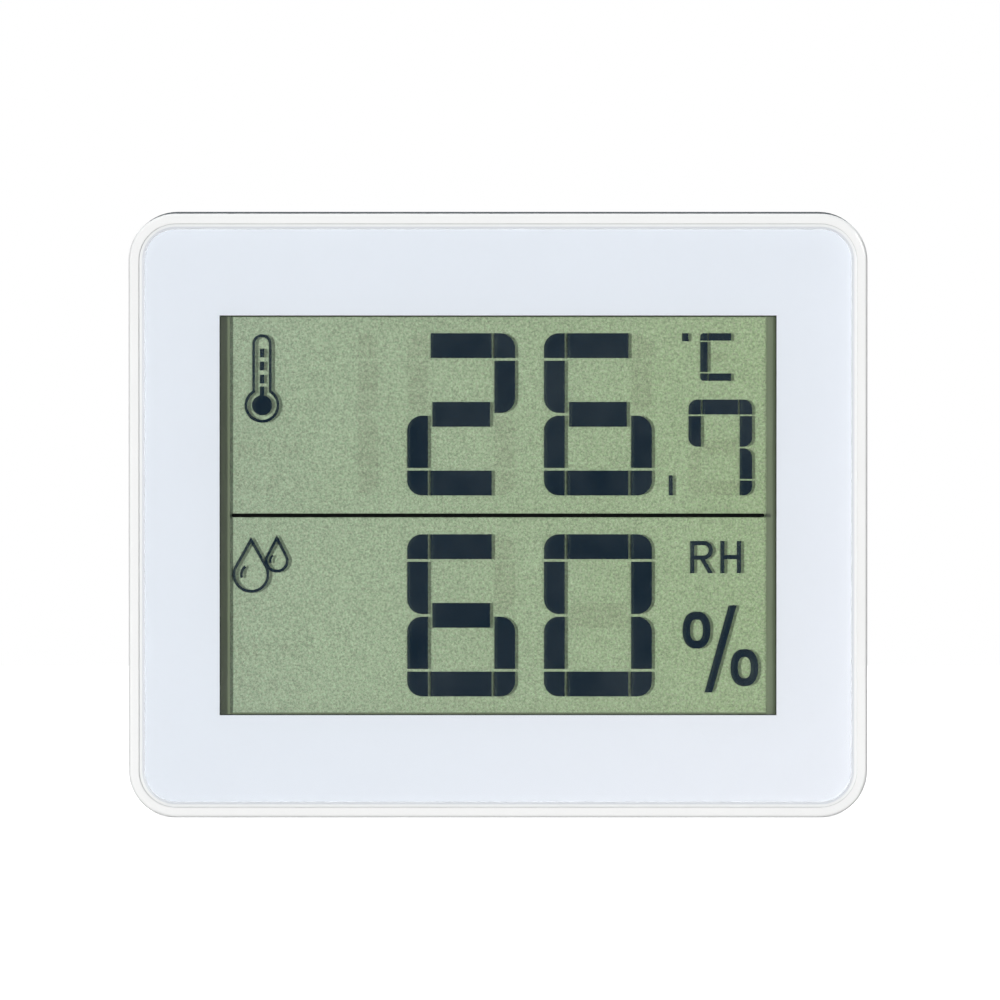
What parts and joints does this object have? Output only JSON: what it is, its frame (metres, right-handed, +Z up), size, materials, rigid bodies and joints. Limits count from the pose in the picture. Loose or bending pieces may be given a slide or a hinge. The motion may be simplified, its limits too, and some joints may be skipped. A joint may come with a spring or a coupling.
{
  "type": "temperature humidity sensor",
  "caption": "Flat white battery-powered temperature and humidity display with a segment LCD, fold-out stand, sliding battery door and wall keyhole.",
  "frame": {"origin": "middle of the case's footprint, on the surface that it stands on", "axes": "+X to the right as seen from the front, +Y from the display towards the back, +Z up"},
  "size_m": [0.11, 0.02, 0.09],
  "materials": {
    "case_white": "satin",
    "panel_clear": "polished",
    "panel_white": "gloss print",
    "print_black": "ink",
    "tape_black": "matte",
    "lcd_film": "satin film",
    "lcd_glass": "polished",
    "segment_dark": "dark liquid crystal",
    "segment_idle": "idle liquid crystal",
    "seal_olive": "matte",
    "reflector_green": "grained film",
    "carrier_plastic": "matte",
    "zebra_pink": "soft",
    "board_green": "solder mask",
    "part_black": "epoxy",
    "part_tan": "ceramic",
    "sensor_white": "matte",
    "metal_bright": "nickel plated",
    "cell_sleeve": "printed sleeve",
    "wire_red": "vinyl",
    "wire_black": "vinyl"
  },
  "bodies": {
    "case": {"front_frame": "case_white", "window_panel": "panel_clear", "panel_print": "panel_white", "divider_print": "print_black", "panel_tape": "tape_black", "display_front_polarizer": "lcd_film", "display_front_glass": "lcd_glass", "lit_digits": "segment_dark", "lit_symbols": "segment_dark", "idle_segments": "segment_idle", "display_seal": "seal_olive", "display_rear_glass": "lcd_glass", "display_reflector": "reflector_green", "display_carrier": "carrier_plastic", "zebra_strip": "zebra_pink", "main_board": "board_green", "chip_blob": "part_black", "timing_crystal": "metal_bright", "board_resistors": "part_black", "board_capacitors": "part_tan", "thermistor": "part_black", "humidity_sensor": "sensor_white", "switch_body": "part_black", "rear_cover": "case_white", "battery_left": "cell_sleeve", "battery_right": "cell_sleeve", "contact_positive": "metal_bright", "contact_negative": "metal_bright", "contact_bridge": "metal_bright", "battery_springs": "metal_bright", "wire_red": "wire_red", "wire_black": "wire_black", "case_screws": "metal_bright", "carrier_screws": "metal_bright", "board_screws": "metal_bright"},
    "stand": {"stand_leg": "case_white"},
    "battery_door": {"battery_door": "case_white"},
    "unit_button": {"unit_button": "case_white", "switch_plunger": "part_black"}
  },
  "joints": [
    {"name": "stand_hinge", "type": "hinge", "parent": "case", "child": "stand", "pos_m": [0, 0.0087, 0.0575], "axis": [1, 0, 0], "range_deg": [0, 40]},
    {"name": "door_slide", "type": "slide", "parent": "case", "child": "battery_door", "axis": [0, 0, -1], "range_m": [0, 0.062]},
    {"name": "unit_press", "type": "slide", "parent": "case", "child": "unit_button", "axis": [0, -1, 0], "range_m": [0, 0.0003], "stiffness_N_per_m": 1000, "springref_m": -0.0002}
  ]
}
